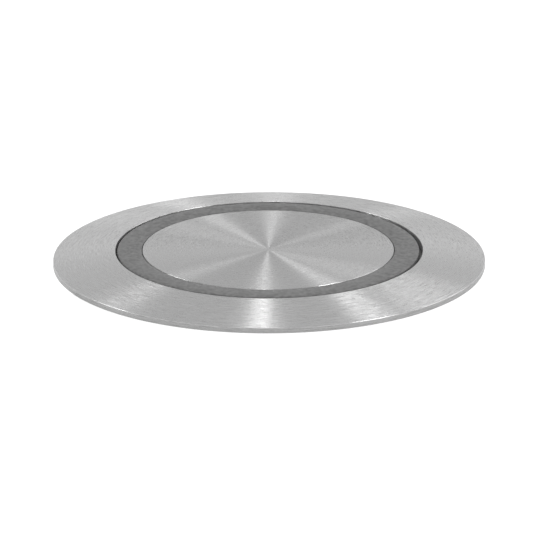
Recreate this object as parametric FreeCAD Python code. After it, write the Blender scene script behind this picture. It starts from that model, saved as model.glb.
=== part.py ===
import FreeCAD, Part
import math
import os

# In-ground well light. A turned steel bezel and centre disc hold a ring-shaped diffuser on a finned housing.
# The housing hangs in a sleeve that is set in the ground, where three sprung clips grip it.
# Heights here are from the ground line, the bezel's underside. write() lifts every piece by the sleeve's depth,
# so that the finished model stands on the sleeve's base. Lengths are in mm, angles in degrees.

V = FreeCAD.Vector
UP = V(0, 0, 1)

# Driving dimensions: the visible top
disc_r = 58.2
joint_w = 13.0            # from the disc's edge to the bezel's hole
bezel_w = 28.8            # width of the bezel's top face
bezel_edge = 2.7          # height of the bezel's outer wall
bezel_rise = 4.6          # how far its top face climbs from the outer wall to the hole
lip_t = 3.3               # metal at the bezel's hole and at the disc's rim
edge_break = 0.35         # chamfer on the turned edges
lens_gap_out = 1.25       # open joint between diffuser and bezel
lens_gap_in = 0.3         # open joint between diffuser and disc
lens_sink = 0.05          # diffuser's face below the steel, which takes the wear
lens_shoulder = 0.8       # round on the diffuser's outer edge
lens_round = 0.3          # round on its inner edge

# Driving dimensions: diffuser flange and its seals
flange_t = 4.0
lap_out = 4.3             # flange that lies under the bezel's lip
lap_in = 5.2              # flange that lies under the disc
gasket_t = 1.0
gasket_inset = 0.2
fit_gap = 0.5             # diffuser flange in the bezel's recess
spigot_gap = 0.3          # housing rim in the bezel's recess

# Driving dimensions: bezel hub, foot and rim gasket
hub_wall = 8.0
hub_drop = 3.0
foot_gap = 0.5            # bezel's foot outside the sleeve's rim
foot_h = 0.5              # how far the foot stands below the face over the sleeve
rim_gasket_w = 4.0
rim_gasket_stand = 0.5    # how far the gasket stands out of its groove
groove_depth = 1.0
groove_side_gap = 0.1
seat_gap = 0.3

# Driving dimensions: mounting sleeve
sleeve_gap = 1.0
sleeve_wall = 3.0
sleeve_rim_w = 7.0
sleeve_rim_t = 3.0
sleeve_depth = 120.0
neck_height = 32.0        # narrower foot of the sleeve
neck_in = 2.5
base_ledge_w = 3.5        # ledge in the foot that the base plate rests on
base_ledge_t = 2.0
base_plate_t = 4.0
base_gap = 0.3
drain_r = 5.0
drain_inset = 21.0        # from the ledge's edge
drain_count = 6
conduit_r = 12.8
entry_r = 9.0
entry_height = 18.0
grommet_bore_r = 5.2
grommet_side_gap = 0.2
grommet_flange_r = 11.0
grommet_flange_t = 1.5

# Driving dimensions: housing
trough_wall = 4.0
trough_inset_in = 1.2     # trough's inner wall inside the disc's edge
trough_inset_out = 2.2
trough_depth = 20.0
trough_floor_t = 5.0
inner_seat_w = 7.0
web_drop = 6.0
web_t = 5.0
side_wall = 3.5
screw_flange_t = 5.0
screw_flange_gap = 1.0
fin_count = 48
fin_t = 1.8
fin_reach = 7.0
fin_top_drop = 7.0        # below the screw flange, room for the screw heads
fin_foot = 4.0
fin_taper = 6.0
cover_boss_r = 4.5
cover_boss_h = 14.0
pillar_r = 4.0
pillar_h = 11.0
earth_pillar_h = 7.0

# Driving dimensions: screws, as thread radius, head radius and head height
m3_r = 1.5
m3_head_r = 2.75
m3_head_h = 2.0
m4_r = 2.0
m4_head_r = 3.5
m4_head_h = 3.0
thread_gap = 0.05
clearance_gap = 0.25
bezel_screw_count = 6
bezel_thread_depth = 6.0
cover_screw_count = 6
cover_thread_depth = 9.0
small_thread_depth = 3.4
hole_spare = 0.4          # blind hole beyond the screw's tip

# Driving dimensions: disc fixing
boss_r = 11.0
stud_r = 4.0
stud_bite = 8.0
stud_tail = 2.0
stud_chamfer = 0.6
washer_r = 8.0
washer_t = 1.6
nut_flats = 13.0
nut_h = 6.5

# Driving dimensions: lamp
board_inset = 1.0
board_t = 1.6
chip_count = 24
chip_w = 3.0
chip_h = 0.8
board_screw_count = 4
tray_t = 0.8
tray_lean = 1.0
tray_top_gap = 0.3
chip_hole_r = 2.4
lead_r = 1.3
lead_angle = 52.5
lead_grommet_r = 3.0
lead_grommet_lip = 1.0

# Driving dimensions: driver, terminal block
driver_l = 72.0
driver_w = 44.0
driver_h = 20.0
driver_ear_l = 12.0
driver_ear_w = 14.0
driver_ear_t = 3.0
driver_screw_edge = 5.0   # from the screw to the ear's end
driver_round = 3.0
block_l = 36.0
block_w = 18.0
block_base_h = 5.0
block_h = 12.0
block_foot_l = 6.0        # base beyond the body, at each end
block_pad_r = 3.5
block_pad_h = 3.0
block_gap = 2.0           # between the terminal block and the driver above it
block_pole_r = 2.2
block_pole_step = 7.5
earth_gap = 10.0          # earth screw beside the driver

# Driving dimensions: base cover, gland, vent
cover_t = 4.0
cover_chamfer = 1.0
gland_inset = 29.5        # from the chamber's wall
gland_thread_r = 10.0
gland_hex = 24.0
gland_hex_h = 5.0
gland_tail_r = 9.0
gland_tail_h = 8.0
gland_bore_r = 7.0
gland_washer_t = 1.5
locknut_h = 5.0
cable_r = 5.2
gland_seal_h = 8.0
gland_nut_flats = 22.0
gland_nut_h = 12.5
gland_nut_gap = 0.5
gland_nut_mouth_r = 6.0
gland_nut_roof = 3.0
run_gap = 0.1
vent_inset = 24.5         # from the chamber's wall
vent_r = 4.0
vent_flats = 14.0
vent_head_h = 4.0
vent_breather_r = 1.5

# Driving dimensions: spring clips
clip_angles = (90.0, 210.0, 330.0)
clip_w = 13.0
clip_strip_t = 1.0
clip_pin_r = 1.5
clip_pin_head_t = 1.0
clip_pin_head_r = 2.4
pin_gap = 0.06
pivot_out = 4.0           # pin's centre from the housing wall
pivot_depth = 44.0
clip_contact_h = 20.0     # contact above the pin
clip_contact_r = 5.0
clip_hook = 50.0
lug_r = 3.2
lug_t = 2.5
lug_gap = 0.5
spring_wire_r = 0.45
spring_r = 2.75
spring_turns = 2
spring_pitch = 2.0
spring_window_r = 5.2
spring_window_gap = 0.45
spring_lean = 17.0        # between the spring's long leg and the arm
spring_foot = 7.0

# Heights and radii that follow
bezel_hole_r = disc_r + joint_w
bezel_r = bezel_hole_r + bezel_w
bezel_top = bezel_edge + bezel_rise
lip_low = bezel_top - lip_t
flange_top = lip_low - gasket_t
flange_low = flange_top - flange_t
seat_z = flange_low - gasket_t
lens_top = bezel_top - lens_sink
lens_in = disc_r + lens_gap_in
lens_out = bezel_hole_r - lens_gap_out
flange_in = disc_r - lap_in
flange_out = bezel_hole_r + lap_out
recess_r = flange_out + fit_gap
hub_r = recess_r + hub_wall
hub_low = -hub_drop
bezel_screw_circle = recess_r + hub_wall / 2
sleeve_in = hub_r + sleeve_gap
sleeve_out = sleeve_in + sleeve_wall
sleeve_rim_r = sleeve_out + sleeve_rim_w
groove_in = sleeve_out - rim_gasket_stand
groove_out = groove_in + rim_gasket_w
groove_top = foot_h + groove_depth
foot_in = sleeve_rim_r + foot_gap
rim_top = -rim_gasket_stand - seat_gap
trough_in = disc_r - trough_inset_in
trough_out = bezel_hole_r - trough_inset_out
trough_mid = (trough_in + trough_out) / 2
trough_floor = seat_z - trough_depth
trough_under = trough_floor - trough_floor_t
body_r = trough_out + trough_wall
chamber_r = body_r - side_wall
web_top = seat_z - web_drop
web_low = web_top - web_t
flange_under = hub_low - screw_flange_t
cover_screw_circle = chamber_r - cover_boss_r + clearance_gap * 2
board_top = trough_floor + board_t
driver_screw_x = driver_l / 2 + driver_ear_l - driver_screw_edge
block_screw_x = (block_l - block_foot_l) / 2
earth_y = -driver_w / 2 - earth_gap
gland_y = chamber_r - gland_inset
vent_y = vent_inset - chamber_r
pillar_low = web_low - pillar_h
driver_low = pillar_low - driver_h
block_seat = driver_low - block_gap - block_h
cover_top = block_seat - block_pad_h
cover_low = cover_top - cover_t
body_low = cover_top + gasket_t
gland_hex_top = cover_low - gland_washer_t
gland_hex_low = gland_hex_top - gland_hex_h
gland_tail_low = gland_hex_low - gland_tail_h
gland_nut_top = gland_hex_low - gland_nut_gap
gland_nut_low = gland_nut_top - gland_nut_h
base_ledge_z = base_ledge_t - sleeve_depth
base_top = base_ledge_z + base_plate_t
entry_z = entry_height - sleeve_depth
neck_r = sleeve_out - neck_in
neck_in_r = sleeve_in - neck_in
base_ledge_r = neck_in_r - base_ledge_w
drain_circle_r = base_ledge_r - drain_inset
neck_z = neck_height - sleeve_depth
pivot_x = body_r + pivot_out
pivot_z = -pivot_depth


def turned(points):
    """Solid of revolution about the vertical axis from (radius, height) points."""
    corners = [V(r, 0, z) for r, z in points]
    return Part.Face(Part.makePolygon(corners + corners[:1])).revolve(V(), UP, 360)


def ring(r_in, r_out, low, high):
    return turned([(r_in, low), (r_out, low), (r_out, high), (r_in, high)])


def rod(radius, low, high, x=0.0, y=0.0):
    return Part.makeCylinder(radius, high - low, V(x, y, low))


def hexagon(flats, low, high, x=0.0, y=0.0):
    corner_r = flats / math.sqrt(3)
    corners = [V(x + corner_r * math.cos(math.radians(a)), y + corner_r * math.sin(math.radians(a)), low)
               for a in range(0, 360, 60)]
    return Part.Face(Part.makePolygon(corners + corners[:1])).extrude(V(0, 0, high - low))


def turned_copy(shape, degrees):
    copy = shape.copy()
    copy.rotate(V(), UP, degrees)
    return copy


def around(shape, angles):
    """Copies of a shape about the vertical axis."""
    return [turned_copy(shape, a) for a in angles]


def spaced(count, start=0.0):
    return [start + i * 360.0 / count for i in range(count)]


def side_plate(edges, y, thickness):
    """Plate with an outline in the radial plane, from y to y + thickness."""
    face = Part.Face(Part.Wire(edges))
    face.translate(V(0, y, 0))
    return face.extrude(V(0, thickness, 0))


def cross_rod(radius, x, z, y_low, y_high):
    return Part.makeCylinder(radius, y_high - y_low, V(x, y_low, z), V(0, 1, 0))


def screw(thread_r, length, head_r, head_h):
    """Socket screw that stands on its head's seat at z = 0, with its shank below."""
    shank = rod(thread_r, -length, 0)
    cap = turned([(0, 0), (head_r, 0), (head_r, head_h * 0.75), (head_r - head_h * 0.25, head_h), (0, head_h)])
    socket = hexagon(head_r, head_h * 0.45, head_h)
    return shank.fuse(cap).cut(socket)


def set_in(shape, x, y, z, upside_down=False):
    copy = shape.copy()
    if upside_down:
        copy.rotate(V(), V(1, 0, 0), 180)
    copy.translate(V(x, y, z))
    return copy


def lead(points, radius, bend):
    """Round lead along straight runs joined by tangent arcs of one radius."""
    edges = []
    start = points[0]
    for before, corner, after in zip(points, points[1:], points[2:]):
        way_in = (corner - before).normalize()
        way_out = (after - corner).normalize()
        half_turn = way_in.getAngle(way_out) / 2
        setback = bend * math.tan(half_turn)
        to_centre = (way_out - way_in).normalize()
        first = corner - way_in * setback
        last = corner + way_out * setback
        middle = corner + to_centre * (bend / math.cos(half_turn) - bend)
        edges += [Part.LineSegment(start, first).toShape(), Part.Arc(first, middle, last).toShape()]
        start = last
    edges.append(Part.LineSegment(start, points[-1]).toShape())
    path = Part.Wire(edges)
    section = Part.Wire(Part.Circle(points[0], points[1] - points[0], radius).toShape())
    return path.makePipeShell([section], True, False)


def bezel_ring():
    shape = turned([
        (bezel_r, 0), (bezel_r, bezel_edge - edge_break), (bezel_r - edge_break, bezel_edge),
        (bezel_hole_r + edge_break, bezel_top), (bezel_hole_r, bezel_top - edge_break),
        (bezel_hole_r, lip_low), (recess_r, lip_low), (recess_r, hub_low), (hub_r, hub_low), (hub_r, foot_h),
        (groove_in, foot_h), (groove_in, groove_top), (groove_out, groove_top), (groove_out, foot_h),
        (foot_in, foot_h), (foot_in, 0)])
    hole = rod(m4_r + thread_gap, hub_low, hub_low + bezel_thread_depth + hole_spare, bezel_screw_circle)
    return shape.cut(around(hole, spaced(bezel_screw_count)))


def bezel_gasket():
    return ring(groove_in + groove_side_gap, groove_out - groove_side_gap, -rim_gasket_stand, groove_top)


def centre_disc():
    shape = turned([
        (0, bezel_top), (disc_r - edge_break, bezel_top), (disc_r, bezel_top - edge_break), (disc_r, lip_low),
        (boss_r, lip_low), (boss_r, web_top + gasket_t), (0, web_top + gasket_t)])
    boss_low = web_top + gasket_t
    return shape.cut(rod(stud_r + thread_gap, boss_low, boss_low + stud_bite + hole_spare))


def diffuser_ring():
    shape = turned([
        (lens_in, lens_top), (lens_out, lens_top), (lens_out, flange_top), (flange_out, flange_top),
        (flange_out, flange_low), (flange_in, flange_low), (flange_in, flange_top), (lens_in, flange_top)])
    for radius, size in ((lens_out, lens_shoulder), (lens_in, lens_round)):
        corner = V(radius, 0, lens_top)
        shape = shape.makeFillet(size, [e for e in shape.Edges if e.Closed and e.Vertexes[0].Point.isEqual(corner, 1e-6)])
    return shape


def outer_lens_gasket():
    return ring(bezel_hole_r + gasket_inset, flange_out, flange_top, lip_low)


def inner_lens_gasket():
    return ring(flange_in, disc_r - gasket_inset, flange_top, lip_low)


def outer_housing_seal():
    return ring(trough_out + trough_wall / 2, flange_out, seat_z, flange_low)


def inner_housing_seal():
    return ring(flange_in, trough_in - gasket_inset, seat_z, flange_low)


def stud_seal():
    return ring(stud_r + gasket_inset, boss_r - trough_wall / 2, web_top, web_top + gasket_t)


def disc_stud():
    top = web_top + gasket_t + stud_bite
    low = web_low - washer_t - nut_h - stud_tail
    return turned([
        (0, low), (stud_r - stud_chamfer, low), (stud_r, low + stud_chamfer), (stud_r, top - stud_chamfer),
        (stud_r - stud_chamfer, top), (0, top)])


def disc_washer():
    return ring(stud_r + clearance_gap, washer_r, web_low - washer_t, web_low)


def disc_nut():
    top = web_low - washer_t
    return hexagon(nut_flats, top - nut_h, top).cut(rod(stud_r + thread_gap, top - nut_h, top))


def housing_shell():
    """Casting before its fins and bosses: trough, web, screw flange and chamber wall in one turned section."""
    spigot_r = recess_r - spigot_gap
    flange_r = hub_r - screw_flange_gap
    hole_r = stud_r + clearance_gap
    return turned([
        (hole_r, web_top), (trough_in - inner_seat_w, web_top), (trough_in - inner_seat_w, seat_z),
        (trough_in, seat_z), (trough_in, trough_floor), (trough_out, trough_floor), (trough_out, seat_z),
        (spigot_r, seat_z), (spigot_r, hub_low), (flange_r, hub_low), (flange_r, flange_under),
        (body_r, flange_under), (body_r, body_low), (chamber_r, body_low), (chamber_r, trough_under),
        (trough_in - trough_wall, trough_under), (trough_in - trough_wall, web_low), (hole_r, web_low)])


def fin():
    top = flange_under - fin_top_drop
    low = body_low + fin_foot
    root = body_r - side_wall / 2
    tip = body_r + fin_reach
    corners = [V(root, 0, low), V(tip - fin_taper, 0, low), V(tip, 0, low + fin_taper), V(tip, 0, top), V(root, 0, top)]
    edges = Part.makePolygon(corners + corners[:1]).Edges
    return side_plate(edges, -fin_t / 2, fin_t)


def fin_angles():
    """Evenly spaced angles, clear of the bezel screws by half a step, without those at the clips."""
    step = 360.0 / fin_count
    clip_half = math.degrees(math.atan((clip_w / 2 + lug_gap + lug_t + fin_t) / body_r))
    free = []
    for angle in spaced(fin_count, step / 2):
        nearest = min(abs((angle - clip + 180.0) % 360.0 - 180.0) for clip in clip_angles)
        if nearest > clip_half:
            free.append(angle)
    return free


def clip_lug(y):
    """Ear that carries one end of a clip's pin."""
    root = body_r - side_wall / 2
    top, low = V(pivot_x, 0, pivot_z + lug_r), V(pivot_x, 0, pivot_z - lug_r)
    edges = [Part.LineSegment(low, V(root, 0, pivot_z - 2 * lug_r)).toShape(),
             Part.LineSegment(V(root, 0, pivot_z - 2 * lug_r), V(root, 0, pivot_z + 2 * lug_r)).toShape(),
             Part.LineSegment(V(root, 0, pivot_z + 2 * lug_r), top).toShape(),
             Part.Arc(top, V(pivot_x + lug_r, 0, pivot_z), low).toShape()]
    return side_plate(edges, y, lug_t)


def clip_lugs():
    near = clip_w / 2 + lug_gap
    return [clip_lug(near), clip_lug(-near - lug_t)]


def housing():
    shape = housing_shell()
    extra = around(fin(), fin_angles())
    for lug in clip_lugs():
        extra += around(lug, clip_angles)
    boss = rod(cover_boss_r, body_low, body_low + cover_boss_h, cover_screw_circle)
    extra += around(boss, spaced(cover_screw_count, 180.0 / cover_screw_count))
    extra += [rod(pillar_r, pillar_low, web_low, x) for x in (-driver_screw_x, driver_screw_x)]
    extra.append(rod(pillar_r, web_low - earth_pillar_h, web_low, 0, earth_y))
    shape = shape.fuse(extra)
    return shape.cut(housing_holes()).removeSplitter()


def housing_holes():
    """Screw holes, pin holes and the way through for the lamp's lead."""
    holes = around(rod(m4_r + clearance_gap, flange_under, hub_low, bezel_screw_circle), spaced(bezel_screw_count))
    cover_hole = rod(m4_r + thread_gap, body_low, body_low + cover_thread_depth + hole_spare, cover_screw_circle)
    holes += around(cover_hole, spaced(cover_screw_count, 180.0 / cover_screw_count))
    board_hole = rod(m3_r + thread_gap, trough_floor - small_thread_depth - hole_spare, trough_floor, trough_mid)
    holes += around(board_hole, board_screw_angles())
    depth = pillar_h - trough_wall
    holes += [rod(m3_r + thread_gap, pillar_low, pillar_low + depth, x) for x in (-driver_screw_x, driver_screw_x)]
    earth_low = web_low - earth_pillar_h
    holes.append(rod(m4_r + thread_gap, earth_low, earth_low + earth_pillar_h, 0, earth_y))
    holes.append(turned_copy(rod(lead_grommet_r, trough_under, trough_floor, trough_mid), lead_angle))
    pin_half = clip_w / 2 + lug_gap + lug_t
    holes += around(cross_rod(clip_pin_r + pin_gap, pivot_x, pivot_z, -pin_half, pin_half), clip_angles)
    return holes


def bezel_screws():
    length = screw_flange_t + bezel_thread_depth
    one = screw(m4_r, length, m4_head_r, m4_head_h)
    return Part.makeCompound(
        around(set_in(one, bezel_screw_circle, 0, flange_under, True), spaced(bezel_screw_count)))


def board_screw_angles():
    """Half way between two chips."""
    return spaced(board_screw_count, 180.0 / chip_count)


def reflector_tray():
    """White tray with leaning walls that stands on the board, with a hole for each chip and screw."""
    inner, outer = trough_in + board_inset, trough_out - board_inset
    floor_top = board_top + tray_t
    top = seat_z - tray_top_gap
    shape = turned([
        (inner, board_top), (outer, board_top), (outer + tray_lean - gasket_inset, top),
        (outer + tray_lean - gasket_inset - tray_t, top), (outer - tray_t, floor_top), (inner + tray_t, floor_top),
        (inner - tray_lean + gasket_inset + tray_t, top), (inner - tray_lean + gasket_inset, top)])
    holes = around(rod(chip_hole_r, board_top, floor_top, trough_mid), spaced(chip_count))
    holes += around(rod(m3_head_r + clearance_gap, board_top, floor_top, trough_mid), board_screw_angles())
    holes.append(turned_copy(rod(lead_grommet_r, board_top, floor_top, trough_mid), lead_angle))
    return shape.cut(holes)


def led_board():
    shape = ring(trough_in + board_inset, trough_out - board_inset, trough_floor, board_top)
    holes = around(rod(m3_r + clearance_gap, trough_floor, board_top, trough_mid), board_screw_angles())
    holes.append(turned_copy(rod(lead_grommet_r - gasket_inset, trough_floor, board_top, trough_mid), lead_angle))
    return shape.cut(holes)


def led_chips():
    chip = Part.makeBox(chip_w, chip_w, chip_h, V(trough_mid - chip_w / 2, -chip_w / 2, board_top))
    return Part.makeCompound(around(chip, spaced(chip_count)))


def led_board_screws():
    one = screw(m3_r, board_t + small_thread_depth, m3_head_r, m3_head_h)
    return Part.makeCompound(around(set_in(one, trough_mid, 0, board_top), board_screw_angles()))


def led_lead_grommet():
    """Rubber bush in the trough's floor, with a lip below it."""
    low = trough_under - lead_grommet_lip
    bush = rod(lead_grommet_r - thread_gap, low, trough_floor, trough_mid)
    lip = rod(lead_grommet_r + lead_grommet_lip, low, trough_under, trough_mid)
    bore = rod(lead_r + run_gap, low, trough_floor, trough_mid)
    return turned_copy(bush.fuse(lip).cut(bore), lead_angle)


def led_lead():
    """From the driver's end face round to the trough, up through its grommet to the board."""
    up = math.radians(lead_angle)
    top = V(trough_mid * math.cos(up), trough_mid * math.sin(up), board_top)
    level = (trough_under - lead_grommet_lip + driver_low) / 2
    below = V(top.x, top.y, level)
    end = driver_l / 2
    y = driver_w / 4
    return lead([V(end, y, level), V(end + driver_ear_l / 2, y, level), below, top], lead_r, 2.5 * lead_r)


def driver():
    half_l, half_w = driver_l / 2, driver_w / 2
    body = Part.makeBox(driver_l, driver_w, driver_h, V(-half_l, -half_w, driver_low))
    upright = [e for e in body.Edges if abs(e.tangentAt(e.FirstParameter).z) > 0.5]
    body = body.makeFillet(driver_round, upright)
    span = driver_l + 2 * driver_ear_l
    ears = Part.makeBox(span, driver_ear_w, driver_ear_t, V(-span / 2, -driver_ear_w / 2, pillar_low - driver_ear_t))
    ear_low = pillar_low - driver_ear_t
    holes = [rod(m3_r + clearance_gap, ear_low, pillar_low, x) for x in (-driver_screw_x, driver_screw_x)]
    return body.fuse(ears).cut(holes).removeSplitter()


def driver_screws():
    one = screw(m3_r, driver_ear_t + small_thread_depth * 1.5, m3_head_r, m3_head_h)
    seat = pillar_low - driver_ear_t
    return Part.makeCompound([set_in(one, x, 0, seat, True) for x in (-driver_screw_x, driver_screw_x)])


def terminal_block():
    """Three-pole block: a low base for its two screws and a taller body with a wire hole for each pole."""
    base = Part.makeBox(block_l, block_w, block_base_h, V(-block_l / 2, -block_w / 2, block_seat))
    body_l = block_l - 2 * block_foot_l
    body = Part.makeBox(body_l, block_w, block_h, V(-body_l / 2, -block_w / 2, block_seat))
    holes = [rod(m3_r + clearance_gap, block_seat, block_seat + block_base_h, x)
             for x in (-block_screw_x, block_screw_x)]
    wire_z = block_seat + block_base_h
    holes += [cross_rod(block_pole_r, i * block_pole_step, wire_z, -block_w / 2, block_w / 2) for i in (-1, 0, 1)]
    return base.fuse(body).cut(holes).removeSplitter()


def terminal_block_screws():
    one = screw(m3_r, block_base_h + small_thread_depth, m3_head_r, m3_head_h)
    seat = block_seat + block_base_h
    return Part.makeCompound([set_in(one, x, 0, seat) for x in (-block_screw_x, block_screw_x)])


def mains_lead():
    """From the terminal block's middle pole out and up to the driver's other end face."""
    wire_z = block_seat + block_base_h
    side = -block_w / 2
    level = driver_low + driver_h / 2
    end = -driver_l / 2
    out = side - 3 * block_pole_r
    past = end - driver_ear_l
    return lead([V(0, side, wire_z), V(0, out, wire_z), V(past, out, wire_z), V(past, out, level),
                 V(past, side, level), V(end, side, level)], lead_r, 2.5 * lead_r)


def earth_screw():
    one = screw(m4_r, earth_pillar_h - hole_spare, m4_head_r, m4_head_h)
    return set_in(one, 0, earth_y, web_low - earth_pillar_h, True)


def base_cover():
    """Plate with a chamfered rim, pads for the terminal block and holes for gland, vent and screws."""
    shape = turned([
        (0, cover_top), (body_r, cover_top), (body_r, cover_low + cover_chamfer), (body_r - cover_chamfer, cover_low),
        (0, cover_low)])
    shape = shape.fuse([rod(block_pad_r, cover_top, block_seat, x) for x in (-block_screw_x, block_screw_x)])
    screw_hole = rod(m4_r + clearance_gap, cover_low, cover_top, cover_screw_circle)
    holes = around(screw_hole, spaced(cover_screw_count, 180.0 / cover_screw_count))
    pad_depth = small_thread_depth + hole_spare
    holes += [rod(m3_r + thread_gap, block_seat - pad_depth, block_seat, x) for x in (-block_screw_x, block_screw_x)]
    holes.append(rod(gland_thread_r + run_gap, cover_low, cover_top, 0, gland_y))
    holes.append(rod(vent_r + thread_gap, cover_low, cover_top, 0, vent_y))
    return shape.cut(holes)


def base_cover_seal():
    shape = ring(chamber_r - 2 * cover_boss_r, body_r, cover_top, body_low)
    hole = rod(m4_r + clearance_gap, cover_top, body_low, cover_screw_circle)
    return shape.cut(around(hole, spaced(cover_screw_count, 180.0 / cover_screw_count)))


def base_cover_screws():
    length = cover_t + gasket_t + cover_thread_depth
    one = set_in(screw(m4_r, length, m4_head_r, m4_head_h), cover_screw_circle, 0, cover_low, True)
    return Part.makeCompound(around(one, spaced(cover_screw_count, 180.0 / cover_screw_count)))


def gland_washer():
    outer = rod(gland_hex / 2, gland_hex_top, cover_low, 0, gland_y)
    return outer.cut(rod(gland_thread_r + run_gap, gland_hex_top, cover_low, 0, gland_y))


def gland_body():
    """Thread through the cover, hexagon below it, and a threaded tail for the gland nut."""
    thread = rod(gland_thread_r, gland_hex_top, cover_top + locknut_h + thread_gap, 0, gland_y)
    hexed = hexagon(gland_hex, gland_hex_low, gland_hex_top, 0, gland_y)
    tail = rod(gland_tail_r, gland_tail_low, gland_hex_low, 0, gland_y)
    bore = rod(gland_bore_r, gland_tail_low, cover_top + locknut_h + thread_gap, 0, gland_y)
    return thread.fuse([hexed, tail]).cut(bore)


def gland_locknut():
    nut = hexagon(gland_hex, cover_top, cover_top + locknut_h, 0, gland_y)
    return nut.cut(rod(gland_thread_r + thread_gap, cover_top, cover_top + locknut_h, 0, gland_y))


def gland_seal():
    """Rubber bush in the gland's tail that the nut squeezes on the cable."""
    low = gland_tail_low - gland_nut_gap
    outer = rod(gland_bore_r - thread_gap, low, low + gland_seal_h, 0, gland_y)
    return outer.cut(rod(cable_r, low, low + gland_seal_h, 0, gland_y))


def gland_nut():
    """Hexagonal cap nut with a mouth for the cable."""
    nut = hexagon(gland_nut_flats, gland_nut_low, gland_nut_top, 0, gland_y)
    crown_r = gland_nut_flats / math.sqrt(3)
    crown = Part.makeCone(gland_nut_flats / 2 - edge_break, crown_r + gland_nut_h, gland_nut_h + cover_chamfer,
                          V(0, gland_y, gland_nut_low))
    nut = nut.common(crown)
    socket = rod(gland_tail_r + run_gap, gland_nut_low + gland_nut_roof, gland_nut_top, 0, gland_y)
    mouth = rod(gland_nut_mouth_r, gland_nut_low, gland_nut_top, 0, gland_y)
    return nut.cut([socket, mouth])


def vent_plug():
    """Breather plug: a hexagonal head under the cover with a blind breather hole."""
    head_low = cover_low - vent_head_h
    head = hexagon(vent_flats, head_low, cover_low, 0, vent_y)
    thread = rod(vent_r, cover_low, cover_top + gasket_t, 0, vent_y)
    return head.fuse(thread).cut(rod(vent_breather_r, head_low, cover_top, 0, vent_y))


def arm_direction():
    """Lean of a clip's arm from the vertical, so that its hook just clears the sleeve's wall."""
    contact_x = math.sqrt((sleeve_in - seat_gap) ** 2 - (clip_w / 2) ** 2) - pivot_x
    centre_x = contact_x - clip_contact_r
    offset = clip_pin_r + pin_gap + clip_strip_t - clip_contact_r
    reach = math.hypot(centre_x, clip_contact_h)
    lean = math.acos(offset / reach) - math.atan2(clip_contact_h, centre_x)
    return centre_x, lean


def clip_arm():
    """Bent strip: two knuckles on the pin, a straight arm and a round hook that bears on the sleeve."""
    centre_x, lean = arm_direction()
    knuckle_in = clip_pin_r + pin_gap
    knuckle_out = knuckle_in + clip_strip_t
    pivot = V(pivot_x, 0, pivot_z)
    normal = V(math.cos(lean), 0, -math.sin(lean))
    centre = pivot + V(centre_x, 0, clip_contact_h)
    hook = math.radians(clip_hook)
    hook_end = V(math.cos(hook), 0, math.sin(hook))
    inner_r = clip_contact_r - clip_strip_t
    outer_line = Part.LineSegment(pivot + normal * knuckle_out, centre + normal * clip_contact_r)
    outer_arc = Part.Arc(centre + normal * clip_contact_r, centre + V(clip_contact_r, 0, 0),
                         centre + hook_end * clip_contact_r)
    tip = Part.LineSegment(centre + hook_end * clip_contact_r, centre + hook_end * inner_r)
    inner_arc = Part.Arc(centre + hook_end * inner_r, centre + V(inner_r, 0, 0), centre + normal * inner_r)
    inner_line = Part.LineSegment(centre + normal * inner_r, pivot + normal * knuckle_in)
    root = Part.LineSegment(pivot + normal * knuckle_in, pivot + normal * knuckle_out)
    edges = [curve.toShape() for curve in (outer_line, outer_arc, tip, inner_arc, inner_line, root)]
    strip = side_plate(edges, -clip_w / 2, clip_w)
    knuckle = cross_rod(knuckle_out, pivot_x, pivot_z, -clip_w / 2, clip_w / 2)
    half_window = (spring_turns * spring_pitch) / 2 + spring_wire_r + spring_window_gap
    window = cross_rod(spring_window_r, pivot_x, pivot_z, -half_window, half_window)
    bore = cross_rod(knuckle_in, pivot_x, pivot_z, -clip_w / 2, clip_w / 2)
    return strip.fuse(knuckle).cut([window, bore]).removeSplitter()


def clip_pins():
    """Headed pins through the housing's ears."""
    half = clip_w / 2 + lug_gap + lug_t
    pin = cross_rod(clip_pin_r, pivot_x, pivot_z, -half - clip_pin_head_t, half)
    head = cross_rod(clip_pin_head_r, pivot_x, pivot_z, half, half + clip_pin_head_t)
    return Part.makeCompound(around(pin.fuse(head), clip_angles))


def arc_from(start, tangent, end):
    """Arc that leaves start along tangent and ends at end."""
    chord = end - start
    side = tangent - chord * (tangent.dot(chord) / chord.dot(chord))
    turn = tangent.getAngle(chord)
    middle = start + chord * 0.5 + side.normalize() * (chord.Length / 2 * math.tan(turn / 2))
    return Part.Arc(start, middle, end).toShape()


def biarc(p, p_way, q, q_way):
    """Two arcs from p to q that meet smoothly and follow the given directions at both ends."""
    chord = q - p
    ways = p_way + q_way
    spread = 2 * (1 - p_way.dot(q_way))
    reach = (-chord.dot(ways) + math.sqrt(chord.dot(ways) ** 2 + spread * chord.dot(chord))) / spread
    joint = (p + q + (p_way - q_way) * reach) * 0.5
    joint_way = (q - q_way * reach) - (p + p_way * reach)
    return [arc_from(p, p_way, joint), arc_from(joint, joint_way.normalize(), q)]


def coil_point(turned_by, total):
    """Point and direction on the coil after turning by an angle, from its housing side, round the clip's pin."""
    angle = math.pi - turned_by
    climb = spring_pitch / (2 * math.pi)
    y = climb * (turned_by - total / 2)
    point = V(pivot_x + spring_r * math.cos(angle), y, pivot_z + spring_r * math.sin(angle))
    way = V(spring_r * math.sin(angle), climb, -spring_r * math.cos(angle))
    return point, way.normalize()


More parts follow.
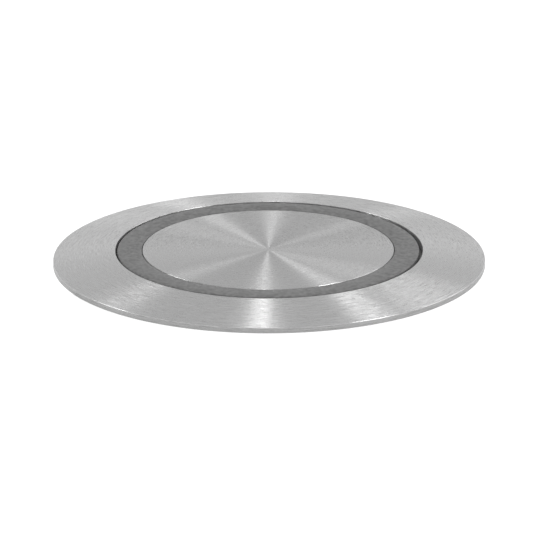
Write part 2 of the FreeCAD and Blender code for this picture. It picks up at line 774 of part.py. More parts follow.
def clip_spring():
    """Torsion spring: a short foot by the housing wall, the coil round the pin, a long leg behind the arm."""
    lean = arm_direction()[1]
    leg_lean = lean + math.radians(spring_lean)
    total = spring_turns * 2 * math.pi + leg_lean
    steps = spring_turns * 4
    marks = [coil_point(total * i / steps, total) for i in range(steps + 1)]
    first, first_way = marks[0]
    last, last_way = marks[-1]
    normal = V(math.cos(lean), 0, -math.sin(lean))
    stop = clip_pin_r + pin_gap - spring_wire_r - run_gap
    leg = (stop - (last - V(pivot_x, 0, pivot_z)).dot(normal)) / last_way.dot(normal)
    edges = [Part.LineSegment(first - first_way * spring_foot, first).toShape()]
    for (p, p_way), (q, q_way) in zip(marks, marks[1:]):
        edges += biarc(p, p_way, q, q_way)
    edges.append(Part.LineSegment(last, last + last_way * leg).toShape())
    start = first - first_way * spring_foot
    section = Part.Wire(Part.Circle(start, first_way, spring_wire_r).toShape())
    return Part.Wire(edges).makePipeShell([section], True, False)


def spring_self_gap():
    """Least clearance between the coil's turns, on points along its line."""
    total = spring_turns * 2 * math.pi
    step = math.radians(10)
    points = [coil_point(i * step, total)[0] for i in range(int(total / step) + 1)]
    apart = int(math.pi / step)
    least = min((points[i] - points[j]).Length for i in range(len(points)) for j in range(i + apart, len(points)))
    return least - 2 * spring_wire_r


def mounting_sleeve():
    """Moulded tube: rim, straight wall, narrower foot with a side entry and a ledge for the base plate."""
    rim_low = rim_top - sleeve_rim_t
    shape = turned([
        (base_ledge_r, -sleeve_depth), (neck_r, -sleeve_depth), (neck_r, neck_z - neck_in), (sleeve_out, neck_z),
        (sleeve_out, rim_low), (sleeve_rim_r, rim_low), (sleeve_rim_r, rim_top), (sleeve_in, rim_top),
        (sleeve_in, neck_z + sleeve_wall), (neck_in_r, neck_z + sleeve_wall - neck_in), (neck_in_r, base_ledge_z),
        (base_ledge_r, base_ledge_z)])
    return shape.cut(cross_rod(entry_r, 0, entry_z, neck_in_r - sleeve_wall, neck_r + sleeve_wall))


def sleeve_base():
    """Stepped plate in the sleeve's foot, flush below, with drain holes and a hole for a conduit."""
    plug_r, plate_r = base_ledge_r - base_gap, neck_in_r - base_gap
    shape = turned([
        (0, -sleeve_depth), (plug_r, -sleeve_depth), (plug_r, base_ledge_z), (plate_r, base_ledge_z),
        (plate_r, base_top), (0, base_top)])
    holes = around(rod(drain_r, -sleeve_depth, base_top, drain_circle_r), spaced(drain_count))
    holes.append(rod(conduit_r, -sleeve_depth, base_top, 0, gland_y))
    return shape.cut(holes)


def sleeve_grommet():
    """Rubber bush in the sleeve's side entry, with a flange on each side of the wall."""
    outer_y = neck_r + grommet_side_gap
    inner_y = math.sqrt(neck_in_r ** 2 - grommet_flange_r ** 2) - grommet_side_gap
    shape = cross_rod(entry_r - grommet_side_gap, 0, entry_z, inner_y, outer_y)
    shape = shape.fuse([
        cross_rod(grommet_flange_r, 0, entry_z, outer_y, outer_y + grommet_flange_t),
        cross_rod(grommet_flange_r, 0, entry_z, inner_y - grommet_flange_t, inner_y)])
    bore = cross_rod(grommet_bore_r, 0, entry_z, inner_y - grommet_flange_t, outer_y + grommet_flange_t)
    return shape.cut(bore)


def write(name, shape):
    lifted = shape.copy()
    lifted.translate(V(0, 0, sleeve_depth))
    lifted.exportStep("parts/" + name + ".step")


os.makedirs("parts", exist_ok=True)
single_pieces = [
    mounting_sleeve, sleeve_base, sleeve_grommet, bezel_ring, bezel_gasket, centre_disc, diffuser_ring, outer_lens_gasket,
    inner_lens_gasket, outer_housing_seal, inner_housing_seal, stud_seal, disc_stud, disc_washer, disc_nut,
    housing, bezel_screws, reflector_tray, led_board, led_chips, led_board_screws, led_lead_grommet, led_lead,
    driver, driver_screws, terminal_block, terminal_block_screws, mains_lead, earth_screw, base_cover,
    base_cover_seal, base_cover_screws, gland_body, gland_washer, gland_locknut, gland_seal, gland_nut,
    vent_plug, clip_pins]
for piece in single_pieces:
    write(piece.__name__, piece())
for letter, angle in zip("abc", clip_angles):
    write("clip_arm_" + letter, turned_copy(clip_arm(), angle))
    write("clip_spring_" + letter, turned_copy(clip_spring(), angle))
print("least gap between the turns of a clip spring: %.2f mm" % spring_self_gap())
print("lowest point of the light unit: %.2f mm above the sleeve's base" % (gland_nut_low + sleeve_depth))
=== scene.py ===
import bpy
import math
from mathutils import Matrix, Vector


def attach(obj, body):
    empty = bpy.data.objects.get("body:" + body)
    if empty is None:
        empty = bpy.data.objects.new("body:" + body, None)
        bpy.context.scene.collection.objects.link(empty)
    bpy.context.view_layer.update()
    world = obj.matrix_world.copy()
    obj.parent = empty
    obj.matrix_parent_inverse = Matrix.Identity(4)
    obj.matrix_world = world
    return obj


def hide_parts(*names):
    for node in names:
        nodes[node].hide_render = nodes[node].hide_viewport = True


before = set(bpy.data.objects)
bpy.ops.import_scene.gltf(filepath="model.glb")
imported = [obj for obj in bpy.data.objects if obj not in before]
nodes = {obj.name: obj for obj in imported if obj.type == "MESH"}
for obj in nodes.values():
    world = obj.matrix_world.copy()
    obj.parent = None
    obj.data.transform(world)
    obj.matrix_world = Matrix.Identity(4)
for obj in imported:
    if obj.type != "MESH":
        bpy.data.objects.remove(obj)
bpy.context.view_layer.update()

# Camera. A very long lens looks down at the light from the front, so that its circles show as flat ellipses.
# The picture is tilted by a hair, with the right side up.
picture_width = 0.2500
camera_distance = 5.4
camera_elevation = math.radians(18.4)
camera_roll = math.radians(0.13)
rim_z = 0.1227
aim_right = 0.0004
aim_down = 0.0052
sensor = 36.0

look = Vector((0, math.cos(camera_elevation), -math.sin(camera_elevation)))
up = Vector((0, math.sin(camera_elevation), math.cos(camera_elevation)))
right = Vector((1, 0, 0))
aim = Vector((0, 0, rim_z)) + right * aim_right - up * aim_down
rolled_up = up * math.cos(camera_roll) + right * math.sin(camera_roll)
rolled_right = right * math.cos(camera_roll) - up * math.sin(camera_roll)
bpy.ops.object.select_all(action="DESELECT")
bpy.ops.object.camera_add(location=aim - look * camera_distance)
camera = bpy.context.object
camera.name = "camera"
camera.data.sensor_width = sensor
camera.data.lens = sensor * camera_distance / picture_width
camera.data.clip_end = 100
camera.rotation_euler = Matrix((rolled_right, rolled_up, -look)).transposed().to_euler()
bpy.context.scene.camera = camera
bpy.context.scene.view_settings.view_transform = "Standard"

# Ground. A pale slab, level with the bezel's underside, with a round pocket for the sleeve. It is cut away
# at the back left, where a lower floor carries the sleeve, so that the sleeve shows from there.
ground_z = 0.120
slab_size = 60.0
pocket_r = 0.0958
pocket_steps = 256
cut_from_axis = 0.033
floor_white = 0.80
lift_to_camera = 0.6
lift_in_reflections = 0.2


def floor_finish(name):
    """White to the camera, pale in reflections, and still darkened a little by a shadow."""
    material = bpy.data.materials.new(name)
    material.use_nodes = True
    tree = material.node_tree
    tree.nodes.clear()
    output = tree.nodes.new("ShaderNodeOutputMaterial")
    both = tree.nodes.new("ShaderNodeAddShader")
    diffuse = tree.nodes.new("ShaderNodeBsdfDiffuse")
    glow = tree.nodes.new("ShaderNodeEmission")
    path = tree.nodes.new("ShaderNodeLightPath")
    seen_in_piece = tree.nodes.new("ShaderNodeMath")
    paler = tree.nodes.new("ShaderNodeMath")
    lift = tree.nodes.new("ShaderNodeMath")
    diffuse.inputs["Color"].default_value = (floor_white, floor_white, floor_white, 1)
    seen_in_piece.operation = "MAXIMUM"
    paler.operation = "MULTIPLY"
    paler.inputs[1].default_value = lift_in_reflections
    lift.operation = "MULTIPLY_ADD"
    lift.inputs[1].default_value = lift_to_camera
    tree.links.new(path.outputs["Is Glossy Ray"], seen_in_piece.inputs[0])
    tree.links.new(path.outputs["Is Transmission Ray"], seen_in_piece.inputs[1])
    tree.links.new(seen_in_piece.outputs[0], paler.inputs[0])
    tree.links.new(path.outputs["Is Camera Ray"], lift.inputs[0])
    tree.links.new(paler.outputs[0], lift.inputs[2])
    tree.links.new(lift.outputs[0], glow.inputs["Strength"])
    tree.links.new(diffuse.outputs[0], both.inputs[0])
    tree.links.new(glow.outputs[0], both.inputs[1])
    tree.links.new(both.outputs[0], output.inputs["Surface"])
    return material


pale_floor = floor_finish("pale_floor")
bpy.ops.object.select_all(action="DESELECT")
bpy.ops.mesh.primitive_cube_add(size=1, location=(0, 0, 0))
slab = bpy.context.object
slab.name = "ground_slab"
bpy.ops.object.mode_set(mode="EDIT")
bpy.ops.mesh.select_all(action="SELECT")
bpy.ops.transform.resize(value=(slab_size, slab_size, ground_z))
bpy.ops.transform.translate(value=(0, 0, ground_z / 2))
bpy.ops.mesh.select_all(action="SELECT")
cut_way = Vector((-1, 1, 0)).normalized()
bpy.ops.mesh.bisect(plane_co=cut_way * cut_from_axis, plane_no=cut_way, use_fill=True, clear_outer=True)
bpy.ops.object.mode_set(mode="OBJECT")
bpy.ops.mesh.primitive_cylinder_add(
    vertices=pocket_steps, radius=pocket_r, depth=3 * ground_z, location=(0, 0, ground_z / 2))
pocket = bpy.context.object
bpy.ops.object.select_all(action="DESELECT")
slab.select_set(True)
bpy.context.view_layer.objects.active = slab
hole = slab.modifiers.new("pocket", "BOOLEAN")
hole.operation = "DIFFERENCE"
hole.solver = "EXACT"
hole.object = pocket
bpy.ops.object.modifier_apply(modifier=hole.name)
bpy.data.objects.remove(pocket)
slab.data.materials.append(pale_floor)

bpy.ops.object.select_all(action="DESELECT")
bpy.ops.mesh.primitive_plane_add(size=slab_size, location=(0, 0, 0))
lower_floor = bpy.context.object
lower_floor.name = "lower_floor"
lower_floor.data.materials.append(pale_floor)

# Light. A pale sky, white at the horizon, and four lamps: a narrow strip overhead, and soft panels on the
# right, the left and behind on the right. Each lamp draws its own streak in the turned steel.
sky_horizon = 1.0
sky_above = 0.66
sky_white_to = 0.13
sky_even_from = 0.32

world = bpy.data.worlds.new("studio_sky")
bpy.context.scene.world = world
world.use_nodes = True
sky = world.node_tree
sky.nodes.clear()
sky_out = sky.nodes.new("ShaderNodeOutputWorld")
sky_light = sky.nodes.new("ShaderNodeBackground")
sky_place = sky.nodes.new("ShaderNodeTexCoord")
sky_split = sky.nodes.new("ShaderNodeSeparateXYZ")
sky_fall = sky.nodes.new("ShaderNodeMapRange")
sky_fall.interpolation_type = "SMOOTHSTEP"
sky_fall.inputs["From Min"].default_value = sky_white_to
sky_fall.inputs["From Max"].default_value = sky_even_from
sky_fall.inputs["To Min"].default_value = sky_horizon
sky_fall.inputs["To Max"].default_value = sky_above
sky.links.new(sky_place.outputs["Generated"], sky_split.inputs[0])
sky.links.new(sky_split.outputs["Z"], sky_fall.inputs["Value"])
sky.links.new(sky_fall.outputs["Result"], sky_light.inputs["Strength"])
sky.links.new(sky_light.outputs[0], sky_out.inputs["Surface"])


def lamp(name, way, distance, along, width, length, watts):
    """Rectangular lamp, that way from the object and facing it, with its length laid along a direction."""
    back = Vector(way).normalized()
    lengthwise = (Vector(along) - back * back.dot(Vector(along))).normalized()
    bpy.ops.object.select_all(action="DESELECT")
    bpy.ops.object.light_add(type="AREA", location=back * distance + Vector((0, 0, ground_z)))
    made = bpy.context.object
    made.name = name
    made.data.shape = "RECTANGLE"
    made.data.size = width
    made.data.size_y = length
    made.data.energy = watts
    made.rotation_euler = Matrix((lengthwise.cross(back), lengthwise, back)).transposed().to_euler()


lamp("strip_overhead", way=(-0.030, 0.15, 0.99), distance=1.5, along=(0, 1, 0),
     width=0.08, length=1.30, watts=1.2)
lamp("panel_right", way=(0.56, -0.06, 0.83), distance=1.7, along=(0.485, -0.875, 0),
     width=0.39, length=0.78, watts=6.0)
lamp("panel_left", way=(-0.79, 0.17, 0.59), distance=1.7, along=(-0.707, -0.707, 0),
     width=0.48, length=0.78, watts=3.6)
lamp("panel_behind", way=(0.64, 0.45, 0.62), distance=1.7, along=(0.64, -0.5, 0),
     width=0.78, length=0.90, watts=3.0)

# Bezel. A stainless ring, turned from plate: a low outer wall, a shallow cone up to the hole, and below it
# a hub that fills the sleeve's mouth and holds the diffuser. Screws from below hold it to the housing.
turning_steps = 384
bezel_r = 0.1000
hole_r = 0.0712
top_z = 0.1273
lip_low = 0.1240
recess_r = 0.0760
hub_r = 0.0840
hub_low = 0.1170
foot_top = 0.1205
foot_in = 0.0955
groove_in = 0.0875
groove_out = 0.0915
groove_top = 0.1215
bezel_profile = [
    (bezel_r, ground_z), (bezel_r, rim_z), (hole_r, top_z), (hole_r, lip_low), (recess_r, lip_low),
    (recess_r, hub_low), (hub_r, hub_low), (hub_r, foot_top), (groove_in, foot_top), (groove_in, groove_top),
    (groove_out, groove_top), (groove_out, foot_top), (foot_in, foot_top), (foot_in, ground_z)]
edge_break = 0.00035
# The bezel's grey is the steel's own tone, raised above the disc's grey for the same stainless steel: the raise
# is painted light.
bezel_steel_and_painted_light_grey = 0.77
# The outer wall's lower grey is painted shade: the same steel, darkened to stand in for the darker reflection
# on the wall.
bezel_wall_painted_shade_grey = 0.50
steel_roughness = 0.28


def lathe(name, profile, closed, off_centre=0.0):
    """Turns a profile of (radius, height) about an upright axis, loop by loop. An open one gets flat ends."""
    same_place = 0.000001
    bpy.ops.object.select_all(action="DESELECT")
    bpy.ops.mesh.primitive_circle_add(vertices=turning_steps, radius=profile[0][0], location=(0, 0, 0))
    piece = bpy.context.object
    piece.name = name
    piece.data.name = name
    bpy.ops.object.mode_set(mode="EDIT")
    bpy.ops.mesh.select_all(action="SELECT")
    bpy.ops.transform.translate(value=(0, 0, profile[0][1]))
    if not closed:
        bpy.ops.mesh.edge_face_add()
    ends = profile[1:] + profile[:1] if closed else profile[1:]
    for (r_from, z_from), (r_to, z_to) in zip(profile, ends):
        bpy.ops.mesh.extrude_region_move(TRANSFORM_OT_translate={"value": (0, 0, z_to - z_from)})
        grow = r_to / r_from
        bpy.ops.transform.resize(value=(grow, grow, 1), center_override=(0, 0, 0))
    bpy.ops.mesh.select_all(action="SELECT")
    if not closed:
        bpy.ops.mesh.region_to_loop()
        bpy.ops.mesh.edge_face_add()
        bpy.ops.mesh.select_all(action="SELECT")
    bpy.ops.transform.translate(value=(off_centre, 0, 0))
    bpy.ops.mesh.remove_doubles(threshold=same_place)
    bpy.ops.mesh.normals_make_consistent(inside=False)
    bpy.ops.object.mode_set(mode="OBJECT")
    bpy.ops.object.shade_smooth()
    return piece


def break_edges(piece, width):
    """Small rounds on the turned edges, between faces that stay flat in the light."""
    sharp_from = math.radians(30)
    bevel = piece.modifiers.new("edge_break", "BEVEL")
    bevel.width = width
    bevel.segments = 3
    bevel.limit_method = "ANGLE"
    bevel.angle_limit = sharp_from
    bevel.harden_normals = True
    bpy.ops.object.modifier_apply(modifier=bevel.name)


def turned_grain_group():
    """Rings left by the tool: a grey, a roughness and a tilted normal that change across them."""
    group = bpy.data.node_groups.new("turned_grain", "ShaderNodeTree")
    group.interface.new_socket("Place", in_out="INPUT", socket_type="NodeSocketVector")
    for name in ("Grey", "Grey Change", "Roughness", "Roughness Change",
                 "Rings per Metre", "Broken Up", "Tilt"):
        group.interface.new_socket(name, in_out="INPUT", socket_type="NodeSocketFloat")
    group.interface.new_socket("Color", in_out="OUTPUT", socket_type="NodeSocketColor")
    group.interface.new_socket("Roughness", in_out="OUTPUT", socket_type="NodeSocketFloat")
    group.interface.new_socket("Normal", in_out="OUTPUT", socket_type="NodeSocketVector")
    add, link = group.nodes.new, group.links.new
    given, out = add("NodeGroupInput"), add("NodeGroupOutput")
    flat, radius, way = add("ShaderNodeVectorMath"), add("ShaderNodeVectorMath"), add("ShaderNodeVectorMath")
    flat.operation = "MULTIPLY"
    flat.inputs[1].default_value = (1, 1, 0)
    radius.operation = "LENGTH"
    way.operation = "NORMALIZE"
    link(given.outputs["Place"], flat.inputs[0])
    link(flat.outputs[0], radius.inputs[0])
    link(flat.outputs[0], way.inputs[0])
    height, reach = add("ShaderNodeSeparateXYZ"), add("ShaderNodeMath")
    reach.operation = "SUBTRACT"
    link(given.outputs["Place"], height.inputs[0])
    link(radius.outputs["Value"], reach.inputs[0])
    link(height.outputs["Z"], reach.inputs[1])
    spread = add("ShaderNodeVectorMath")
    spread.operation = "SCALE"
    link(way.outputs[0], spread.inputs[0])
    link(given.outputs["Broken Up"], spread.inputs["Scale"])
    rings = add("ShaderNodeMath")
    rings.operation = "MULTIPLY"
    link(reach.outputs[0], rings.inputs[0])
    link(given.outputs["Rings per Metre"], rings.inputs[1])
    split, join = add("ShaderNodeSeparateXYZ"), add("ShaderNodeCombineXYZ")
    link(spread.outputs[0], split.inputs[0])
    link(split.outputs["X"], join.inputs["X"])
    link(split.outputs["Y"], join.inputs["Y"])
    link(rings.outputs[0], join.inputs["Z"])
    noise = add("ShaderNodeTexNoise")
    noise.inputs["Scale"].default_value = 1.0
    noise.inputs["Detail"].default_value = 5.0
    noise.inputs["Roughness"].default_value = 0.75
    link(join.outputs[0], noise.inputs["Vector"])
    centred = add("ShaderNodeMath")
    centred.operation = "SUBTRACT"
    centred.inputs[1].default_value = 0.5
    link(noise.outputs["Fac"], centred.inputs[0])
    grey, rough, lean = add("ShaderNodeMath"), add("ShaderNodeMath"), add("ShaderNodeMath")
    grey.operation = rough.operation = "MULTIPLY_ADD"
    link(centred.outputs[0], grey.inputs[0])
    link(given.outputs["Grey Change"], grey.inputs[1])
    link(given.outputs["Grey"], grey.inputs[2])
    link(centred.outputs[0], rough.inputs[0])
    link(given.outputs["Roughness Change"], rough.inputs[1])
    link(given.outputs["Roughness"], rough.inputs[2])
    lean.operation = "MULTIPLY"
    link(centred.outputs[0], lean.inputs[0])
    link(given.outputs["Tilt"], lean.inputs[1])
    surface = add("ShaderNodeNewGeometry")
    along, across = add("ShaderNodeVectorMath"), add("ShaderNodeVectorMath")
    along.operation = across.operation = "CROSS_PRODUCT"
    along.inputs[0].default_value = (0, 0, 1)
    link(way.outputs[0], along.inputs[1])
    link(along.outputs[0], across.inputs[0])
    link(surface.outputs["Normal"], across.inputs[1])
    leaning, tilted = add("ShaderNodeVectorMath"), add("ShaderNodeVectorMath")
    unit = add("ShaderNodeVectorMath")
    leaning.operation = "SCALE"
    tilted.operation = "ADD"
    unit.operation = "NORMALIZE"
    link(across.outputs[0], leaning.inputs[0])
    link(lean.outputs[0], leaning.inputs["Scale"])
    link(surface.outputs["Normal"], tilted.inputs[0])
    link(leaning.outputs[0], tilted.inputs[1])
    link(tilted.outputs[0], unit.inputs[0])
    link(grey.outputs[0], out.inputs["Color"])
    link(rough.outputs[0], out.inputs["Roughness"])
    link(unit.outputs[0], out.inputs["Normal"])
    return group


turned_grain = turned_grain_group()


def turned_steel(name, grey, off_centre=0.0):
    """Stainless steel with fine tool rings, whose highlights spread across the rings."""
    material = bpy.data.materials.new(name)
    material.use_nodes = True
    tree = material.node_tree
    steel = tree.nodes["Principled BSDF"]
    place = tree.nodes.new("ShaderNodeTexCoord")
    centre = tree.nodes.new("ShaderNodeMapping")
    grain = tree.nodes.new("ShaderNodeGroup")
    tangent = tree.nodes.new("ShaderNodeTangent")
    centre.inputs["Location"].default_value = (-off_centre, 0, 0)
    grain.node_tree = turned_grain
    grain.inputs["Grey"].default_value = grey
    grain.inputs["Grey Change"].default_value = 0.8
    grain.inputs["Roughness"].default_value = steel_roughness
    grain.inputs["Roughness Change"].default_value = 0.1
    grain.inputs["Rings per Metre"].default_value = 4500.0
    grain.inputs["Broken Up"].default_value = 14.0
    grain.inputs["Tilt"].default_value = 2.2
    tangent.direction_type = "RADIAL"
    tangent.axis = "Z"
    steel.inputs["Metallic"].default_value = 1.0
    steel.inputs["Anisotropic"].default_value = 1.0
    steel.inputs["Anisotropic Rotation"].default_value = 0.25
    tree.links.new(place.outputs["Object"], centre.inputs["Vector"])
    tree.links.new(centre.outputs["Vector"], grain.inputs["Place"])
    tree.links.new(grain.outputs["Color"], steel.inputs["Base Color"])
    tree.links.new(grain.outputs["Roughness"], steel.inputs["Roughness"])
    tree.links.new(grain.outputs["Normal"], steel.inputs["Normal"])
    tree.links.new(tangent.outputs[0], steel.inputs["Tangent"])
    return material


bezel = lathe("bezel", bezel_profile, closed=True)
break_edges(bezel, edge_break)
bezel.data.materials.append(turned_steel("bezel_steel_with_painted_light", bezel_steel_and_painted_light_grey))
# A second copy of the steel, with the lower grey, goes on the outer wall's upright faces: painted shade, not a
# different finish.
bezel.data.materials.append(turned_steel("bezel_wall_painted_shade_steel", bezel_wall_painted_shade_grey))
wall_from_r = 0.99 * bezel_r
upright_slope = 0.1
for face in bezel.data.polygons:
    if abs(face.normal.z) < upright_slope and face.center.to_2d().length > wall_from_r:
        face.material_index = 1
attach(bezel, "light_unit")
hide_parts("bezel_ring")

# Centre disc. A stainless plate turned on its face, level with the bezel's hole, with a boss below for the
# stud that holds it down. It and the diffuser sit a little left in the bezel's hole, within their play.
insert_off_centre = -0.0004
boss_r = 0.0110
boss_low = 0.1130
disc_r = 0.0582
disc_grey = 0.70
disc_profile = [(boss_r, boss_low), (boss_r, lip_low), (disc_r, lip_low), (disc_r, top_z)]

disc = lathe("disc", disc_profile, closed=False, off_centre=insert_off_centre)
break_edges(disc, edge_break)
disc.data.materials.append(turned_steel("disc_steel", disc_grey, insert_off_centre))
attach(disc, "light_unit")
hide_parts("centre_disc")

# Diffuser. A moulded ring of satin polymer between bezel and disc, almost level with them. Its two flanges
# are clamped under the bezel's lip and the disc's rim. With the lamp off it looks a plain mid grey.
outer_round = [
    (0.06995, 0.12645), (0.06989, 0.12676), (0.06972, 0.12702), (0.06946, 0.12719), (0.06915, 0.12725)]
inner_round = [(0.05880, 0.12725), (0.05859, 0.12716), (0.05850, 0.12695)]
flange_in = 0.05300
flange_out = 0.07550
flange_low = 0.11900
flange_top = 0.12300
diffuser_profile = outer_round + inner_round + [
    (inner_round[-1][0], flange_top), (flange_in, flange_top), (flange_in, flange_low),
    (flange_out, flange_low), (flange_out, flange_top), (outer_round[0][0], flange_top)]
diffuser_grey = 0.17


def fine_speckle_group():
    """Speckle of a moulded, cast or rolled surface: its colour, roughness and height change a little."""
    group = bpy.data.node_groups.new("fine_speckle", "ShaderNodeTree")
    group.interface.new_socket("Place", in_out="INPUT", socket_type="NodeSocketVector")
    group.interface.new_socket("Speckles per Metre", in_out="INPUT", socket_type="NodeSocketVector")
    group.interface.new_socket("Color", in_out="INPUT", socket_type="NodeSocketColor")
    for name in ("Color Change", "Roughness", "Roughness Change"):
        group.interface.new_socket(name, in_out="INPUT", socket_type="NodeSocketFloat")
    group.interface.new_socket("Color", in_out="OUTPUT", socket_type="NodeSocketColor")
    group.interface.new_socket("Roughness", in_out="OUTPUT", socket_type="NodeSocketFloat")
    group.interface.new_socket("Height", in_out="OUTPUT", socket_type="NodeSocketFloat")
    add, link = group.nodes.new, group.links.new
    given, out = add("NodeGroupInput"), add("NodeGroupOutput")
    spread, noise = add("ShaderNodeVectorMath"), add("ShaderNodeTexNoise")
    spread.operation = "MULTIPLY"
    noise.inputs["Scale"].default_value = 1.0
    noise.inputs["Detail"].default_value = 4.0
    link(given.outputs["Place"], spread.inputs[0])
    link(given.outputs["Speckles per Metre"], spread.inputs[1])
    link(spread.outputs[0], noise.inputs["Vector"])
    centred, shade, rough = add("ShaderNodeMath"), add("ShaderNodeMath"), add("ShaderNodeMath")
    centred.operation = "SUBTRACT"
    centred.inputs[1].default_value = 0.5
    shade.operation = rough.operation = "MULTIPLY_ADD"
    shade.inputs[2].default_value = 1.0
    tint = add("ShaderNodeVectorMath")
    tint.operation = "SCALE"
    link(noise.outputs["Fac"], centred.inputs[0])
    link(centred.outputs[0], shade.inputs[0])
    link(given.outputs["Color Change"], shade.inputs[1])
    link(given.outputs["Color"], tint.inputs[0])
    link(shade.outputs[0], tint.inputs["Scale"])
    link(centred.outputs[0], rough.inputs[0])
    link(given.outputs["Roughness Change"], rough.inputs[1])
    link(given.outputs["Roughness"], rough.inputs[2])
    link(tint.outputs[0], out.inputs["Color"])
    link(rough.outputs[0], out.inputs["Roughness"])
    link(noise.outputs["Fac"], out.inputs["Height"])
    return group


fine_speckle = fine_speckle_group()


def speckled(name, colour, roughness, metallic, speckles, depth,
             colour_change=0.3, roughness_change=0.2, coat=0.0):
    """Finish with fine speckle: so many speckles a metre along X, Y and Z, with bumps of a depth in metres."""
    material = bpy.data.materials.new(name)
    material.use_nodes = True
    tree = material.node_tree
    surface = tree.nodes["Principled BSDF"]
    place = tree.nodes.new("ShaderNodeTexCoord")
    speckle = tree.nodes.new("ShaderNodeGroup")
    bump = tree.nodes.new("ShaderNodeBump")
    speckle.node_tree = fine_speckle
    speckle.inputs["Speckles per Metre"].default_value = speckles
    speckle.inputs["Color"].default_value = colour + (1,)
    speckle.inputs["Color Change"].default_value = colour_change
    speckle.inputs["Roughness"].default_value = roughness
    speckle.inputs["Roughness Change"].default_value = roughness_change
    bump.inputs["Distance"].default_value = depth
    surface.inputs["Metallic"].default_value = metallic
    surface.inputs["Coat Weight"].default_value = coat
    surface.inputs["Coat Roughness"].default_value = 0.1
    tree.links.new(place.outputs["Object"], speckle.inputs["Place"])
    tree.links.new(speckle.outputs["Color"], surface.inputs["Base Color"])
    tree.links.new(speckle.outputs["Roughness"], surface.inputs["Roughness"])
    tree.links.new(speckle.outputs["Height"], bump.inputs["Height"])
    tree.links.new(bump.outputs["Normal"], surface.inputs["Normal"])
    return material


diffuser = lathe("diffuser", diffuser_profile, closed=True, off_centre=insert_off_centre)
bpy.ops.object.shade_smooth_by_angle(angle=math.radians(40))
satin_polymer = speckled("satin_polymer", (diffuser_grey, diffuser_grey, diffuser_grey), roughness=0.42,
                         metallic=0.0, speckles=(600, 600, 600), depth=0.00004, colour_change=2.0)
diffuser.data.materials.append(satin_polymer)
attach(diffuser, "light_unit")
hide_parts("diffuser_ring")

# Seals. Clear silicone rings lie above and below the diffuser's flanges and under the base cover. Black
# rubber ones lie under the bezel's rim, on the stud, in the gland and round the leads. All are clamped.
clear_silicone = speckled("clear_silicone", (0.55, 0.55, 0.55), roughness=0.34, metallic=0.0,
                          speckles=(900, 900, 900), depth=0.00001)
black_rubber = speckled("black_rubber", (0.02, 0.02, 0.02), roughness=0.62, metallic=0.0,
                        speckles=(2400, 2400, 2400), depth=0.00003)
for name in ("outer_lens_gasket", "inner_lens_gasket", "outer_housing_seal", "inner_housing_seal",
             "base_cover_seal"):
    nodes[name].data.materials[0] = clear_silicone
for name in ("bezel_gasket", "stud_seal", "led_lead_grommet", "gland_washer", "gland_seal", "sleeve_grommet"):
    nodes[name].data.materials[0] = black_rubber

# Housing and base cover. Cast aluminium with upright fins, blasted after casting, so that its skin is an even,
# slightly sparkling grey. The cover is cast the same way and closes the wiring chamber from below.
cast_aluminium = speckled("cast_aluminium", (0.55, 0.55, 0.56), roughness=0.5, metallic=1.0,
                          speckles=(1300, 1300, 1300), depth=0.00009, colour_change=0.35, roughness_change=0.35)
for name in ("housing", "base_cover"):
    nodes[name].data.materials[0] = cast_aluminium

# Fasteners. Screws, pins, stud, washer and nut of stainless steel: formed, rolled and tumbled bright.
# They hold the bezel, disc, board, driver, terminal block, earth lead, base cover and clips.
bright_stainless = speckled("bright_stainless", (0.55, 0.55, 0.55), roughness=0.24, metallic=1.0,
                            speckles=(2200, 2200, 600), depth=0.000001, colour_change=0.1, roughness_change=0.1)
for name in ("disc_stud", "disc_washer", "disc_nut", "bezel_screws", "led_board_screws", "driver_screws",
             "terminal_block_screws", "earth_screw", "base_cover_screws", "clip_pins"):
    nodes[name].data.materials[0] = bright_stainless

# Lamp. A ring board of aluminium under white solder mask carries the chips, each under yellow silicone. It
# lies in a glossy white tray, pressed into the housing's trough, that throws the light up to the diffuser.
gloss_white = speckled("gloss_white", (0.85, 0.85, 0.85), roughness=0.2, metallic=0.0,
                       speckles=(700, 700, 700), depth=0.000005, colour_change=0.04, coat=0.4)
solder_mask_white = speckled("solder_mask_white", (0.85, 0.85, 0.83), roughness=0.42, metallic=0.0,
                             speckles=(1800, 1800, 1800), depth=0.000005, colour_change=0.06)
phosphor_silicone = speckled("phosphor_silicone", (0.85, 0.7, 0.2), roughness=0.3, metallic=0.0,
                             speckles=(3000, 3000, 3000), depth=0.000005, colour_change=0.25, coat=0.5)
nodes["reflector_tray"].data.materials[0] = gloss_white
nodes["led_board"].data.materials[0] = solder_mask_white
nodes["led_chips"].data.materials[0] = phosphor_silicone

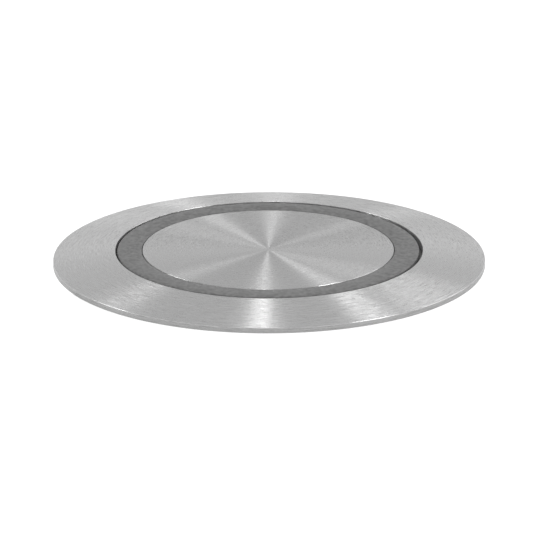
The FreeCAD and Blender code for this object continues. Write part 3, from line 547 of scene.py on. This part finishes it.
# Driver, terminal block and leads. The driver is potted in a black moulded case, the block is pale moulded
# nylon with a clamp for each lead, and the leads have a dark silicone jacket.
driver_case = speckled("driver_case", (0.05, 0.05, 0.055), roughness=0.5, metallic=0.0,
                       speckles=(1600, 1600, 1600), depth=0.00003)
pale_nylon = speckled("pale_nylon", (0.8, 0.8, 0.78), roughness=0.4, metallic=0.0,
                      speckles=(1200, 1200, 1200), depth=0.00001, colour_change=0.06)
lead_jacket = speckled("lead_jacket", (0.08, 0.08, 0.08), roughness=0.45, metallic=0.0,
                       speckles=(1800, 1800, 1800), depth=0.00001)
nodes["driver"].data.materials[0] = driver_case
nodes["terminal_block"].data.materials[0] = pale_nylon
for name in ("led_lead", "mains_lead"):
    nodes[name].data.materials[0] = lead_jacket

# Gland and vent. Turned brass, plated with nickel. The gland's nut squeezes its seal round the cable, and the
# vent plug lets the chamber breathe.
nickel_plate = speckled("nickel_plate", (0.6, 0.58, 0.54), roughness=0.26, metallic=1.0,
                        speckles=(700, 700, 2600), depth=0.000001, colour_change=0.1, roughness_change=0.1)
for name in ("gland_body", "gland_locknut", "gland_nut", "vent_plug"):
    nodes[name].data.materials[0] = nickel_plate

# Clips. Arms and springs of rolled spring steel. Each arm hinges on a pin in the housing and is pushed outwards
# by its spring, so that it grips the sleeve.
rolled_spring_steel = speckled("rolled_spring_steel", (0.5, 0.5, 0.5), roughness=0.22, metallic=1.0,
                               speckles=(2600, 2600, 150), depth=0.000002,
                               colour_change=0.15, roughness_change=0.15)
for name in ("clip_arm_a", "clip_arm_b", "clip_arm_c", "clip_spring_a", "clip_spring_b", "clip_spring_c"):
    nodes[name].data.materials[0] = rolled_spring_steel

# Sleeve. A moulded pot of dark plastic, with its floor welded in. It is set in the ground, and the light drops
# into it and is held by the clips.
sleeve_plastic = speckled("sleeve_plastic", (0.03, 0.03, 0.032), roughness=0.56, metallic=0.0,
                          speckles=(1400, 1400, 1400), depth=0.00006)
for name in ("mounting_sleeve", "sleeve_base"):
    nodes[name].data.materials[0] = sleeve_plastic
